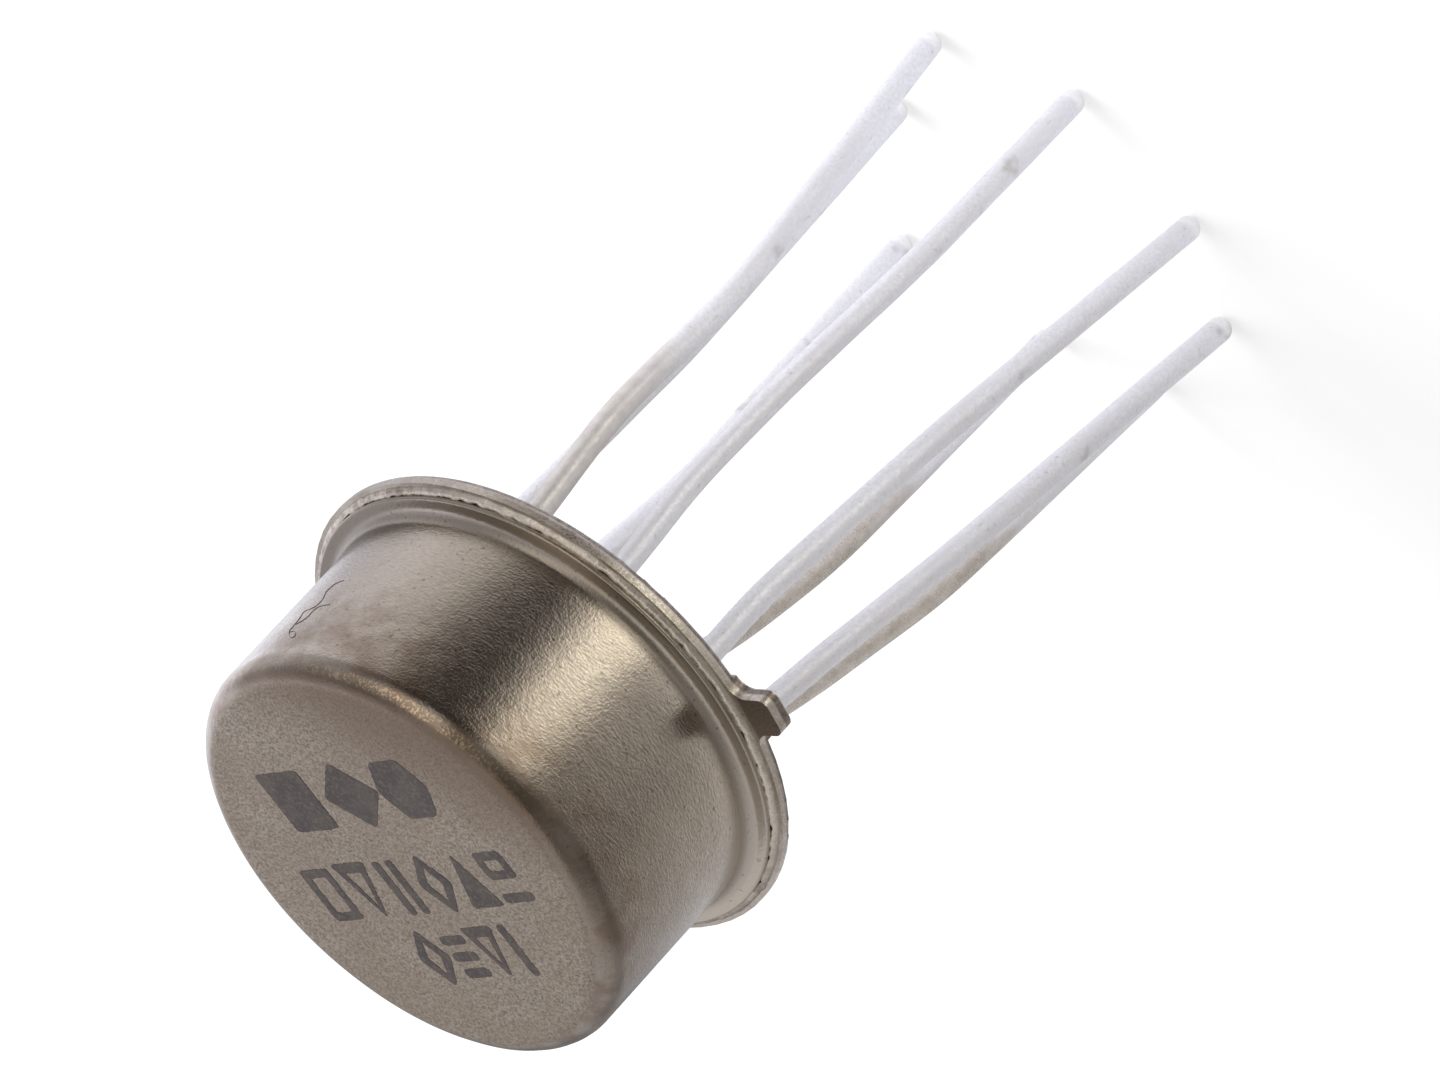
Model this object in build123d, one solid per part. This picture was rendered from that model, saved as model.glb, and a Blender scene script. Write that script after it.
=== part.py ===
from build123d import *
import math
import os

# Voltage comparator in an eight-lead round metal can: a drawn cap welded on a stamped
# header, with eight wires sealed through it in glass and the chip bonded inside.
# Millimetres, +Z towards the top of the cap. The origin is the centre of the seating
# plane, the underside of the glass stand-off. +X runs through the index tab and lead 8,
# and the leads count 1 to 8 counter-clockwise seen from above.

# Cap: one drawn can with a turned-out flange
cap_diameter = 8.09
cap_height = 3.97              # underside of its flange to its top
cap_sheet = 0.20
cap_corner_radius = 0.42
cap_inner_bevel = 0.15
cap_foot_radius = 0.20         # outside, between wall and flange
cap_mouth_bevel = 0.25         # inside, where the wall turns out into the flange
cap_flange_width = 0.37        # beyond the wall
cap_flange_thickness = 0.16
cap_flange_bevel = 0.04

# Header: one stamping, a flange with a raised hat in its middle
weld_ledge = 0.185             # flange left bare beyond the cap's flange
flange_thickness = 0.30
flange_edge_radius = 0.20      # underside, left by the blanking punch
header_height = 1.15           # underside of the flange to the top of the hat
hat_sheet = 0.30               # wall and top of the hat
hat_bevel = 0.20               # outside, round the top
hat_inner_bevel = 0.08
hat_mouth_bevel = 0.30         # inside, where the hat opens below
hat_to_cap_clearance = 0.20

# Index tab, stamped in one with the flange
tab_length = 0.65              # beyond the rim
tab_width = 0.72
tab_corner_radius = 0.18
tab_root_radius = 0.30
tab_edge_bevel = 0.02

# Glass seal with its central stand-off
standoff_height = 0.40         # seating plane to the underside of the flange
standoff_diameter = 3.30
standoff_bevel = 0.06
glass_recess = 0.06            # glass surface above the underside of the flange
seal_hole_diameter = 1.00      # hole in the hat around each lead
meniscus_height = 0.14         # glass drawn down along each lead
meniscus_spread = 0.14

# Leads
lead_circle_diameter = 5.08
core_diameter = 0.41           # bare wire, in the glass and above it
solder_coat = 0.015            # dipped up to the seating plane
lead_length = 12.87            # seating plane to tip
lead_first_bend = 0.75         # depth of the first bend
lead_tip_bevel = 0.10
post_height = 0.40             # above the hat, inside the can

# Each lead was bent a little in handling. A row is one lead, and holds its bends and then
# its tip: how far down, outwards and sideways, counter-clockwise seen from above, as
# shares of lead_length.
lead_bends = (
    ((0.20, 0.009, 0.010), (0.40, 0.020, 0.002), (0.67, 0.030, -0.019), (1, 0.044, -0.029)),
    ((0.26, 0.019, 0.007), (0.51, 0.012, -0.002), (1, 0.048, 0.010)),
    ((0.27, -0.006, 0.002), (0.51, -0.013, 0.004), (1, -0.002, 0.002)),
    ((0.30, 0.012, 0.037), (0.46, 0.019, 0.059), (1, 0.072, 0.086)),
    ((0.33, 0.019, 0.064), (0.51, 0.028, 0.089), (1, 0.039, 0.104)),
    ((0.28, 0.049, 0.026), (0.54, 0.089, 0.046), (1, 0.118, 0.057)),
    ((0.23, 0.021, 0.004), (0.47, 0.057, 0.006), (1, 0.124, 0.014)),
    ((0.16, 0.003, 0.005), (0.50, 0.030, -0.013), (1, 0.080, -0.054)),
)

# Chip, its solder preform and its bond wires
die_length = 1.60
die_width = 1.30
die_thickness = 0.28
preform_thickness = 0.04
preform_margin = 0.12
pad_inset = 0.14               # bond pad centre from the edge of the die
bond_wire_diameter = 0.05
bond_ball_diameter = 0.11
bond_ball_height = 0.03
bond_loop_height = 0.45        # top of the loop above the post
bond_shoulder = 0.20           # slanting run between the neck and the top of the loop
bond_stitch_length = 0.16      # run pressed flat on the post

# Derived places
lead_count = len(lead_bends)
cap_flange_diameter = cap_diameter + 2 * cap_flange_width
flange_diameter = cap_flange_diameter + 2 * weld_ledge
flange_bottom = standoff_height
flange_top = flange_bottom + flange_thickness
hat_top = flange_bottom + header_height
hat_ceiling = hat_top - hat_sheet
hat_radius = cap_diameter / 2 - cap_sheet - hat_to_cap_clearance
cavity_radius = hat_radius - hat_sheet
glass_bottom = flange_bottom + glass_recess
cap_top = flange_top + cap_height
post_top = hat_top + post_height
die_bottom = hat_top + preform_thickness
die_top = die_bottom + die_thickness
lead_circle_radius = lead_circle_diameter / 2
core_radius = core_diameter / 2


def turned(outline):
    """Solid of revolution about Z.

    A corner is its radius and height, and may add fillet or chamfer and the size of that.
    """
    face = make_face(Polyline(*[corner[:2] for corner in outline], close=True))
    for r, z, *easing in outline:
        if easing:
            ease, size = easing
            face = ease(face.vertices().sort_by_distance((r, z))[0], size)
    return revolve(Plane.XZ * face, Axis.Z)


def rod(radius, bottom, top):
    """Upright round bar on the Z axis."""
    bar = Cylinder(radius, top - bottom, align=(Align.CENTER, Align.CENTER, Align.MIN))
    return Pos(0, 0, bottom) * bar


def wire(diameter, points, corners):
    """Round wire along straight runs, joined by that kind of corner."""
    path = Polyline(*points)
    section = Plane(origin=path @ 0, z_dir=path % 0) * Circle(diameter / 2)
    return sweep(section, path, transition=corners)


def lead_azimuth(number):
    """Angle of a lead from the index tab, in degrees."""
    return number * 360 / lead_count


def at_lead(number):
    """Place on the lead circle, turned so that local +X points outwards."""
    return Rot(0, 0, lead_azimuth(number)) * Pos(lead_circle_radius, 0, 0)


def make_tab():
    """Index tab, with the part of the flange that its root curves run into."""
    rim_radius = flange_diameter / 2
    tip = rim_radius + tab_length
    edge = tab_width / 2
    outline = Circle(rim_radius) + Pos(tip / 2, 0) * Rectangle(tip, tab_width)
    root = math.sqrt(rim_radius**2 - edge**2)
    for side in (-edge, edge):
        outline = fillet(outline.vertices().sort_by_distance((root, side))[0], tab_root_radius)
        outline = fillet(outline.vertices().sort_by_distance((tip, side))[0], tab_corner_radius)
    # The root curves touch the rim this far from the middle of the tab
    touch = (edge + tab_root_radius) * rim_radius / (rim_radius + tab_root_radius)
    inner = rim_radius - tab_length
    outline &= Pos((inner + tip) / 2, 0) * Rectangle(tip - inner, 2 * touch)
    tab = Pos(0, 0, flange_bottom) * extrude(outline, flange_thickness)
    outer_edges = tab.edges().group_by(Axis.Z)[0].filter_by(lambda e: e.center().X > rim_radius)
    return chamfer(outer_edges, tab_edge_bevel)


def make_header():
    """Flange and tab, the hat raised in the middle, and the holes for the leads."""
    header = turned(
        (
            (0, hat_ceiling),
            (cavity_radius, hat_ceiling, chamfer, hat_inner_bevel),
            (cavity_radius, flange_bottom, chamfer, hat_mouth_bevel),
            (flange_diameter / 2, flange_bottom, fillet, flange_edge_radius),
            (flange_diameter / 2, flange_top),
            (hat_radius, flange_top),
            (hat_radius, hat_top, chamfer, hat_bevel),
            (0, hat_top),
        )
    )
    header += make_tab()
    for number in range(1, lead_count + 1):
        header -= at_lead(number) * rod(seal_hole_diameter / 2, hat_ceiling, hat_top)
    return header


def make_cap():
    """Drawn can, open below, whose flange lies on the header's flange."""
    wall_radius = cap_diameter / 2
    rim_radius = cap_flange_diameter / 2
    step = flange_top + cap_flange_thickness
    return turned(
        (
            (0, cap_top - cap_sheet),
            (wall_radius - cap_sheet, cap_top - cap_sheet, chamfer, cap_inner_bevel),
            (wall_radius - cap_sheet, flange_top, chamfer, cap_mouth_bevel),
            (rim_radius, flange_top),
            (rim_radius, step, chamfer, cap_flange_bevel),
            (wall_radius, step, fillet, cap_foot_radius),
            (wall_radius, cap_top, fillet, cap_corner_radius),
            (0, cap_top),
        )
    )


def make_glass_seal(header):
    """Glass that fills the hat, rises round each lead and stands down in the middle."""
    standoff = rod(standoff_diameter / 2, 0, glass_bottom)
    standoff = chamfer(standoff.edges().group_by(Axis.Z)[0], standoff_bevel)
    glass = rod(hat_radius, glass_bottom, hat_ceiling) + standoff
    for number in range(1, lead_count + 1):
        meniscus = Cone(
            core_radius,
            core_radius + meniscus_spread,
            meniscus_height,
            align=(Align.CENTER, Align.CENTER, Align.MAX),
        )
        collar = rod(seal_hole_diameter / 2, hat_ceiling, hat_top)
        glass += at_lead(number) * (collar + Pos(0, 0, glass_bottom) * meniscus)
    glass -= header
    for number in range(1, lead_count + 1):
        glass -= at_lead(number) * rod(core_radius, 0, hat_top)
    return glass


def make_lead(number):
    """One wire: bare post through the glass, then the solder-dipped and bent free end.

    Its bends are slight, so each run is the round section carried along parallel to itself.
    """
    points = [(0, 0, 0), (0, 0, -lead_first_bend)]
    for down, outwards, sideways in lead_bends[number - 1]:
        points.append(Vector(outwards, sideways, -down) * lead_length)
    dipped = wire(core_diameter + 2 * solder_coat, points, Transition.TRANSFORMED)
    dipped = chamfer(dipped.edges().sort_by(Axis.Z)[0], lead_tip_bevel)
    return at_lead(number) * (dipped + rod(core_radius, 0, post_top))


def make_die():
    """Silicon chip, long side across the tab."""
    return Pos(0, 0, die_bottom) * Box(
        die_width, die_length, die_thickness, align=(Align.CENTER, Align.CENTER, Align.MIN)
    )


def make_die_attach():
    """Gold-silicon preform between chip and hat."""
    return Pos(0, 0, hat_top) * Box(
        die_width + 2 * preform_margin,
        die_length + 2 * preform_margin,
        preform_thickness,
        align=(Align.CENTER, Align.CENTER, Align.MIN),
    )


def make_bond_wire(number):
    """Wire looped from a ball bond at the edge of the chip to a stitch on top of a post."""
    azimuth = math.radians(lead_azimuth(number))
    half_x = die_width / 2 - pad_inset
    half_y = die_length / 2 - pad_inset
    # The ball sits where the way to the post crosses the line of pads
    to_pad = 1 / max(abs(math.cos(azimuth)) / half_x, abs(math.sin(azimuth)) / half_y)
    loop_top = post_top + bond_loop_height
    stitch_level = post_top + bond_wire_diameter / 2
    stitch_start = lead_circle_radius - bond_stitch_length / 2
    loop = wire(
        bond_wire_diameter,
        (
            (to_pad, 0, die_top),
            (to_pad, 0, loop_top - bond_shoulder),
            (to_pad + bond_shoulder, 0, loop_top),
            (stitch_start, 0, stitch_level),
            (stitch_start + bond_stitch_length, 0, stitch_level),
        ),
        Transition.RIGHT,
    )
    ball = Pos(to_pad, 0, 0) * rod(bond_ball_diameter / 2, die_top, die_top + bond_ball_height)
    return Rot(0, 0, lead_azimuth(number)) * (loop + ball)


def make_nodes():
    """Every piece of the part by name."""
    header = make_header()
    nodes = {
        "cap": make_cap(),
        "header": header,
        "glass_seal": make_glass_seal(header),
        "die": make_die(),
        "die_attach": make_die_attach(),
    }
    for number in range(1, lead_count + 1):
        nodes[f"lead_{number}"] = make_lead(number)
        nodes[f"bond_wire_{number}"] = make_bond_wire(number)
    return nodes


os.makedirs("parts", exist_ok=True)
for name, piece in make_nodes().items():
    export_step(piece, f"parts/{name}.step")
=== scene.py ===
import bmesh
import bpy
import math
from mathutils import Matrix, Vector, noise


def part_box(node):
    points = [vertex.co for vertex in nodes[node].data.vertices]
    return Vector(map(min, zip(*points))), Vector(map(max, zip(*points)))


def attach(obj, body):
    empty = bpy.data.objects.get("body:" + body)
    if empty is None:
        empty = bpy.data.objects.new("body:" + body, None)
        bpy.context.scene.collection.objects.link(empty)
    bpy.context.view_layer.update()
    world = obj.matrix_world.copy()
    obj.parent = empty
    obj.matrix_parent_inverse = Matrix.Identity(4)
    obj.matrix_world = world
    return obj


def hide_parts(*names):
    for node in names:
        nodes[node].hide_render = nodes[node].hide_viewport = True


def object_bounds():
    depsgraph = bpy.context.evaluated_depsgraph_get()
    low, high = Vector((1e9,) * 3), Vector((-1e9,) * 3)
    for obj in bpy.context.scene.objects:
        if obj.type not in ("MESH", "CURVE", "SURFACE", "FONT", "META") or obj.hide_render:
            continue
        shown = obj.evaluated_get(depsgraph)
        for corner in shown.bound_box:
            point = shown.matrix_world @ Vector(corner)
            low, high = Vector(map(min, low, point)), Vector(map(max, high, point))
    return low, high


# The frame: every piece of the comparator at its real size, in metres, with +Z towards
# the top of the cap and +X through the index tab.
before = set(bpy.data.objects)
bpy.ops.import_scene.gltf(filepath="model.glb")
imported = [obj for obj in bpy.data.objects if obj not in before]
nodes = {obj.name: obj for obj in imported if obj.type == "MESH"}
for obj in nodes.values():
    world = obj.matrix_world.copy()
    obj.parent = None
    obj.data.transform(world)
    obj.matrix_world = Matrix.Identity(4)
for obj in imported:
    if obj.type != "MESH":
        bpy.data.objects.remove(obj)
cad_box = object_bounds()
mm = 0.001


# ---------------------------------------------------------------------------
# Header. A stamping of iron-nickel-cobalt sheet with its index tab and a raised hat,
# nickel plated after the glass was fused into it. The punch leaves a smooth sheared
# band round the edge and a dull torn one below it. The face of the tab has browned.
# ---------------------------------------------------------------------------
def add_node(tree, kind, **settings):
    """A shader node. Settings name its options, or its input sockets by their label."""
    made = tree.nodes.new(kind)
    for name, value in settings.items():
        if hasattr(made, name):
            setattr(made, name, value)
        else:
            made.inputs[name.replace("_", " ")].default_value = value
    return made


def plain_finish(name, colour, metallic, roughness):
    """A material whose shader still has one colour; the sections add the rest."""
    finish = bpy.data.materials.new(name)
    finish.use_nodes = True
    shader = finish.node_tree.nodes["Principled BSDF"]
    shader.inputs["Base Color"].default_value = (*colour, 1)
    shader.inputs["Metallic"].default_value = metallic
    shader.inputs["Roughness"].default_value = roughness
    return finish, finish.node_tree, shader


def place_on(tree, stretch=(1, 1, 1)):
    """Position on the part, squeezed along some axes so that a pattern runs along the others."""
    where = add_node(tree, "ShaderNodeTexCoord")
    squeeze = add_node(tree, "ShaderNodeMapping")
    squeeze.inputs["Scale"].default_value = stretch
    tree.links.new(where.outputs["Object"], squeeze.inputs["Vector"])
    return squeeze.outputs["Vector"]


def mottle(tree, size, detail=4.0, stretch=(1, 1, 1), low=0.35, high=0.65):
    """Soft cloudy pattern with patches of about that size, from 0 to 1."""
    cloud = add_node(tree, "ShaderNodeTexNoise", Scale=1 / size, Detail=detail, Roughness=0.6)
    tree.links.new(place_on(tree, stretch), cloud.inputs["Vector"])
    spread = add_node(tree, "ShaderNodeMapRange", interpolation_type="SMOOTHSTEP")
    spread.inputs["From Min"].default_value = low
    spread.inputs["From Max"].default_value = high
    tree.links.new(cloud.outputs["Fac"], spread.inputs["Value"])
    return spread.outputs["Result"]


def blend_colours(tree, share, first, second):
    """Mix of two colours, each a colour or the output of another node."""
    mixer = add_node(tree, "ShaderNodeMix", data_type="RGBA")
    tree.links.new(share, mixer.inputs["Factor"])
    for socket, colour in ((mixer.inputs[6], first), (mixer.inputs[7], second)):
        if isinstance(colour, tuple):
            socket.default_value = (*colour, 1)
        else:
            tree.links.new(colour, socket)
    return mixer.outputs[2]


def spread_value(tree, share, low, high):
    """The pattern taken to run from low to high."""
    reach = add_node(tree, "ShaderNodeMapRange")
    reach.inputs["To Min"].default_value = low
    reach.inputs["To Max"].default_value = high
    tree.links.new(share, reach.inputs["Value"])
    return reach.outputs["Result"]


def relief(tree, shader, heights):
    """Bump from a list of (pattern, depth in metres)."""
    normal = None
    for pattern, depth in heights:
        bump = add_node(tree, "ShaderNodeBump", Distance=depth, Strength=1.0)
        tree.links.new(pattern, bump.inputs["Height"])
        if normal is not None:
            tree.links.new(normal, bump.inputs["Normal"])
        normal = bump.outputs["Normal"]
    tree.links.new(normal, shader.inputs["Normal"])


def ramp(tree, value, start, end):
    """0 where the value is at start, 1 where it is at end, soft between them."""
    step = add_node(tree, "ShaderNodeMapRange", interpolation_type="SMOOTHSTEP")
    step.inputs["From Min"].default_value = start
    step.inputs["From Max"].default_value = end
    tree.links.new(value, step.inputs["Value"])
    return step.outputs["Result"]


def combined(tree, operation, first, second):
    """Two patterns, or a pattern and a number, put together."""
    joined = add_node(tree, "ShaderNodeMath", operation=operation)
    for socket, part in ((joined.inputs[0], first), (joined.inputs[1], second)):
        if isinstance(part, (int, float)):
            socket.default_value = part
        else:
            tree.links.new(part, socket)
    return joined.outputs["Value"]


def place_and_facing(tree):
    """Where a point lies along x, y and z, and how its surface faces along them."""
    place = add_node(tree, "ShaderNodeSeparateXYZ")
    tree.links.new(place_on(tree), place.inputs["Vector"])
    facing = add_node(tree, "ShaderNodeNewGeometry")
    tilt = add_node(tree, "ShaderNodeSeparateXYZ")
    tree.links.new(facing.outputs["Normal"], tilt.inputs["Vector"])
    return place.outputs, tilt.outputs


header_bottom = 0.40 * mm      # the flange stands this far off the board
torn_from = header_bottom + 0.03 * mm
torn_to = header_bottom + 0.15 * mm
torn_fade = 0.02 * mm
tab_starts = 4.60 * mm
tab_fade = 0.08 * mm

header_nickel, tree, shader = plain_finish("header_nickel", (0.6, 0.55, 0.5), 1.0, 0.3)
place, tilt = place_and_facing(tree)
patches = mottle(tree, 0.9 * mm)
grain = mottle(tree, 0.05 * mm, detail=2.0)
plating = blend_colours(tree, patches, (0.62, 0.565, 0.505), (0.46, 0.405, 0.35))
tear_marks = mottle(tree, 0.10 * mm, detail=5.0, stretch=(1, 1, 0.3), low=0.3, high=0.7)
torn_tone = blend_colours(tree, tear_marks, (0.34, 0.30, 0.27), (0.16, 0.13, 0.11))
below_top = ramp(tree, place["Z"], torn_to + torn_fade, torn_to - torn_fade)
above_foot = ramp(tree, place["Z"], torn_from - torn_fade, torn_from + torn_fade)
torn = combined(tree, "MULTIPLY", below_top, above_foot)
on_tab = ramp(tree, place["X"], tab_starts, tab_starts + tab_fade)
tab_face = combined(tree, "MULTIPLY", on_tab, ramp(tree, tilt["Z"], 0.8, 0.95))
edged = blend_colours(tree, torn, plating, torn_tone)
tab_brown = combined(tree, "MULTIPLY", tab_face, 0.65)
browned = blend_colours(tree, tab_brown, edged, (0.20, 0.145, 0.11))
tree.links.new(browned, shader.inputs["Base Color"])
tree.links.new(spread_value(tree, grain, 0.26, 0.42), shader.inputs["Roughness"])
relief(tree, shader, [(grain, 0.0012 * mm), (patches, 0.004 * mm)])
nodes["header"].data.materials.clear()
nodes["header"].data.materials.append(header_nickel)


# ---------------------------------------------------------------------------
# Glass seal. Hard glass, fused round the eight wires in one pour and pressed down in
# the middle into the stand-off that keeps the header off the board. It is dark, with a
# fire-polished skin and a few bubbles just under it.
# ---------------------------------------------------------------------------
seal_glass, tree, shader = plain_finish("seal_glass", (0.02, 0.024, 0.028), 0.0, 0.1)
bubbles = mottle(tree, 0.12 * mm, detail=1.0, low=0.62, high=0.70)
clouds = mottle(tree, 0.8 * mm)
body = blend_colours(tree, clouds, (0.016, 0.020, 0.024), (0.035, 0.045, 0.047))
tree.links.new(blend_colours(tree, bubbles, body, (0.10, 0.12, 0.12)), shader.inputs["Base Color"])
tree.links.new(spread_value(tree, clouds, 0.07, 0.18), shader.inputs["Roughness"])
relief(tree, shader, [(bubbles, 0.006 * mm), (clouds, 0.01 * mm)])
shader.inputs["Coat Weight"].default_value = 0.3
nodes["glass_seal"].data.materials.clear()
nodes["glass_seal"].data.materials.append(seal_glass)


# ---------------------------------------------------------------------------
# Weld bead. Cap and header are joined by one pulse of current, which squeezes a thin lip
# of melted metal out between the flanges. It freezes as an uneven bead that fills the
# angle between the edge of the cap's flange and the rounded ledge of the header's.
# ---------------------------------------------------------------------------
bead_radius = 4.470 * mm
bead_width = 0.065 * mm
bead_height = 0.085 * mm
bead_sink = 0.004 * mm
ledge_round = 0.20 * mm
ledge_round_centre = 4.40 * mm
bead_turns = 420
bead_sides = 9
bead_wander = 0.02 * mm
# How often round the rim the bead wanders, swells and pimples, and by what part it does
wander_rate = 9
swell_rate = 31
pimple_rate = 90
swell_part = 0.35
pimple_part = 0.2


def towards_side(tree, azimuth):
    """How far a point lies out towards one azimuth, in metres."""
    reach = add_node(tree, "ShaderNodeVectorMath", operation="DOT_PRODUCT")
    tree.links.new(place_on(tree), reach.inputs[0])
    angle = math.radians(azimuth)
    reach.inputs[1].default_value = (math.cos(angle), math.sin(angle), 0)
    return reach.outputs["Value"]


bead_metal, tree, shader = plain_finish("bead_metal", (0.4, 0.36, 0.34), 1.0, 0.4)
scale_marks = mottle(tree, 0.22 * mm, detail=5.0)
pits = mottle(tree, 0.05 * mm, detail=2.0)
bead_tone = blend_colours(tree, scale_marks, (0.66, 0.59, 0.50), (0.42, 0.36, 0.30))
# Painted highlight: the bead is painted lighter and warmer towards one side
bead_highlight_side = ramp(tree, towards_side(tree, 22), 1.0 * mm, 3.6 * mm)
bead_with_painted_highlight = blend_colours(tree, bead_highlight_side, bead_tone, (0.90, 0.82, 0.72))
tree.links.new(bead_with_painted_highlight, shader.inputs["Base Color"])
tree.links.new(spread_value(tree, pits, 0.26, 0.42), shader.inputs["Roughness"])
relief(tree, shader, [(pits, 0.0016 * mm), (scale_marks, 0.005 * mm)])


def add_piece(name, mesh_builder, finish, smooth=True):
    """An object of the part from a finished bmesh, riding with the can."""
    mesh = bpy.data.meshes.new(name)
    bmesh.ops.recalc_face_normals(mesh_builder, faces=mesh_builder.faces)
    mesh_builder.to_mesh(mesh)
    mesh_builder.free()
    mesh.materials.append(finish)
    if smooth:
        mesh.shade_smooth()
    piece = bpy.data.objects.new(name, mesh)
    bpy.context.scene.collection.objects.link(piece)
    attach(piece, "root")
    return piece


header_flange_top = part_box("cap")[0].z
build = bmesh.new()
sections = []
for turn in range(bead_turns):
    angle = 2 * math.pi * turn / bead_turns
    out = Vector((math.cos(angle), math.sin(angle), 0))
    wander = noise.noise(out * wander_rate) * bead_wander
    swell = 1 + swell_part * noise.noise(out * swell_rate) + pimple_part * noise.noise(out * pimple_rate)
    section = []
    for side in range(bead_sides):
        lean = math.pi * side / (bead_sides - 1)
        across = bead_radius + wander + bead_width * swell * math.cos(lean)
        past = min(max(across - ledge_round_centre, 0), ledge_round)
        seat = header_flange_top - ledge_round + math.sqrt(ledge_round ** 2 - past ** 2)
        rise = 0 if side == bead_sides - 1 else math.sin(min(lean, math.pi / 2))
        height = seat - bead_sink + bead_height * swell * rise
        section.append(build.verts.new((out.x * across, out.y * across, height)))
    sections.append(section)
for turn in range(bead_turns):
    here, there = sections[turn], sections[(turn + 1) % bead_turns]
    for side in range(bead_sides):
        other = (side + 1) % bead_sides
        build.faces.new((here[side], there[side], there[other], here[other]))
add_piece("weld_bead", build, bead_metal)


# ---------------------------------------------------------------------------
# Leads. Eight wires of the header's alloy, each a bare post above the seating plane.
# Below it they wear a dipped coat of solder, a little uneven and dulled to a pale matt
# skin, smudged grey towards the ends. Three of them are stained tan near the can.
# ---------------------------------------------------------------------------
lead_count = 8
lead_rings = 150
lead_sides = 28
tip_rings = 6
bend_softening = 40            # passes that turn the sharp bends of the centre line into curves
core_radius = 0.205 * mm
coat_radius = 0.22 * mm
coat_starts_over = 0.12 * mm   # the coat grows to its full thickness over this length
first_ring_drop = 0.001 * mm   # keeps the first ring clear of the wire's flat end
coat_waviness = 0.007 * mm
wave_length = 0.9 * mm
wave_squeeze = 0.7             # waves are drawn out along the wire by this
wave_seed_step = 7             # keeps the waves of one wire apart from the next one's
tip_bluntness = 0.94
tan_fade = 2.5 * mm


def solder_finish(name, tan_share, tan_end):
    """Matt solder; its skin is tan by the share given, from the can down to a height."""
    finish, tree, shader = plain_finish(name, (0.85, 0.85, 0.88), 0.6, 0.45)
    place = place_and_facing(tree)[0]
    drips = mottle(tree, 0.6 * mm, stretch=(1, 1, 0.3), low=0.4, high=0.7)
    skin = mottle(tree, 0.06 * mm, detail=4.0)
    specks = mottle(tree, 0.14 * mm, detail=3.0, low=0.62, high=0.76)
    pale = blend_colours(tree, drips, (0.86, 0.86, 0.90), (0.80, 0.79, 0.82))
    skinned = blend_colours(tree, skin, pale, (0.79, 0.78, 0.81))
    specked = blend_colours(tree, specks, skinned, (0.66, 0.63, 0.60))
    smudges = mottle(tree, 1.0 * mm, detail=3.0, low=0.61, high=0.73)
    smudged = combined(tree, "MULTIPLY", smudges, ramp(tree, place["Z"], -6.0 * mm, -8.0 * mm))
    smudge_share = combined(tree, "MULTIPLY", smudged, 0.65)
    soiled = blend_colours(tree, smudge_share, specked, (0.48, 0.46, 0.44))
    crust = mottle(tree, 0.20 * mm, detail=7.0, low=0.32, high=0.68)
    tan = blend_colours(tree, crust, (0.67, 0.62, 0.57), (0.54, 0.49, 0.44))
    tanned_to = combined(tree, "ADD", place["Z"], combined(tree, "MULTIPLY", drips, 1.2 * mm))
    above_end = ramp(tree, tanned_to, tan_end - tan_fade, tan_end)
    tanned = combined(tree, "MULTIPLY", above_end, tan_share)
    tree.links.new(blend_colours(tree, tanned, soiled, tan), shader.inputs["Base Color"])
    skin_gloss = spread_value(tree, skin, 0.40, 0.50)
    tan_gloss = combined(tree, "SUBTRACT", skin_gloss, combined(tree, "MULTIPLY", tanned, 0.14))
    tree.links.new(tan_gloss, shader.inputs["Roughness"])
    relief(tree, shader, [(skin, 0.0014 * mm), (crust, 0.0005 * mm), (drips, 0.006 * mm)])
    return finish


lead_solder = solder_finish("lead_solder", 0.0, 0.0)
half_tanned_solder = solder_finish("half_tanned_solder", 0.7, -3.4 * mm)
tanned_solder = solder_finish("tanned_solder", 1.0, -6.5 * mm)
lead_coats = {2: half_tanned_solder, 5: tanned_solder, 6: tanned_solder}


def wire_centres(mesh, top, bottom, steps):
    """Middle of a wire at evenly spaced heights, found from the edges that cross each."""
    crossings = [[] for _ in range(steps + 1)]
    rise = (bottom - top) / steps
    for edge in mesh.edges:
        first, second = (mesh.vertices[v].co for v in edge.vertices)
        if first.z == second.z:
            continue
        start, end = sorted(((first.z - top) / rise, (second.z - top) / rise))
        for step in range(max(math.ceil(start), 0), min(math.floor(end), steps) + 1):
            height = top + rise * step
            crossings[step].append(first.lerp(second, (height - first.z) / (second.z - first.z)))
    centres = []
    for cuts in crossings:
        xs = [cut.x for cut in cuts]
        ys = [cut.y for cut in cuts]
        centres.append(Vector(((min(xs) + max(xs)) / 2, (min(ys) + max(ys)) / 2, cuts[0].z)))
    for _ in range(bend_softening):
        inner = [(a + b + c) / 3 for a, b, c in zip(centres, centres[1:], centres[2:])]
        centres = [centres[0], *inner, centres[-1]]
    return centres


def add_tube(build, rings):
    """Skin over rings of points, closed by a fan at each end."""
    loops = [[build.verts.new(point) for point in ring] for ring in rings]
    for lower, upper in zip(loops, loops[1:]):
        for i in range(len(lower)):
            j = (i + 1) % len(lower)
            build.faces.new((lower[i], lower[j], upper[j], upper[i]))
    for loop in (loops[0], loops[-1]):
        middle = sum((v.co for v in loop), Vector()) / len(loop)
        centre = build.verts.new(middle)
        for i in range(len(loop)):
            build.faces.new((loop[i], loop[(i + 1) % len(loop)], centre))


def ring_round(centre, along, radius, sides, waviness, seed):
    """Points round a wire, its coat made a little uneven."""
    side = along.cross(Vector((0, 1, 0))).normalized()
    other = along.cross(side).normalized()
    ring = []
    for i in range(sides):
        turn = 2 * math.pi * i / sides
        out = side * math.cos(turn) + other * math.sin(turn)
        spot = (centre + out * radius) / wave_length
        swell = waviness * (noise.noise(Vector((spot.x, spot.y, spot.z * wave_squeeze + seed))) - 0.5)
        ring.append(centre + out * (radius + swell))
    return ring


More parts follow.
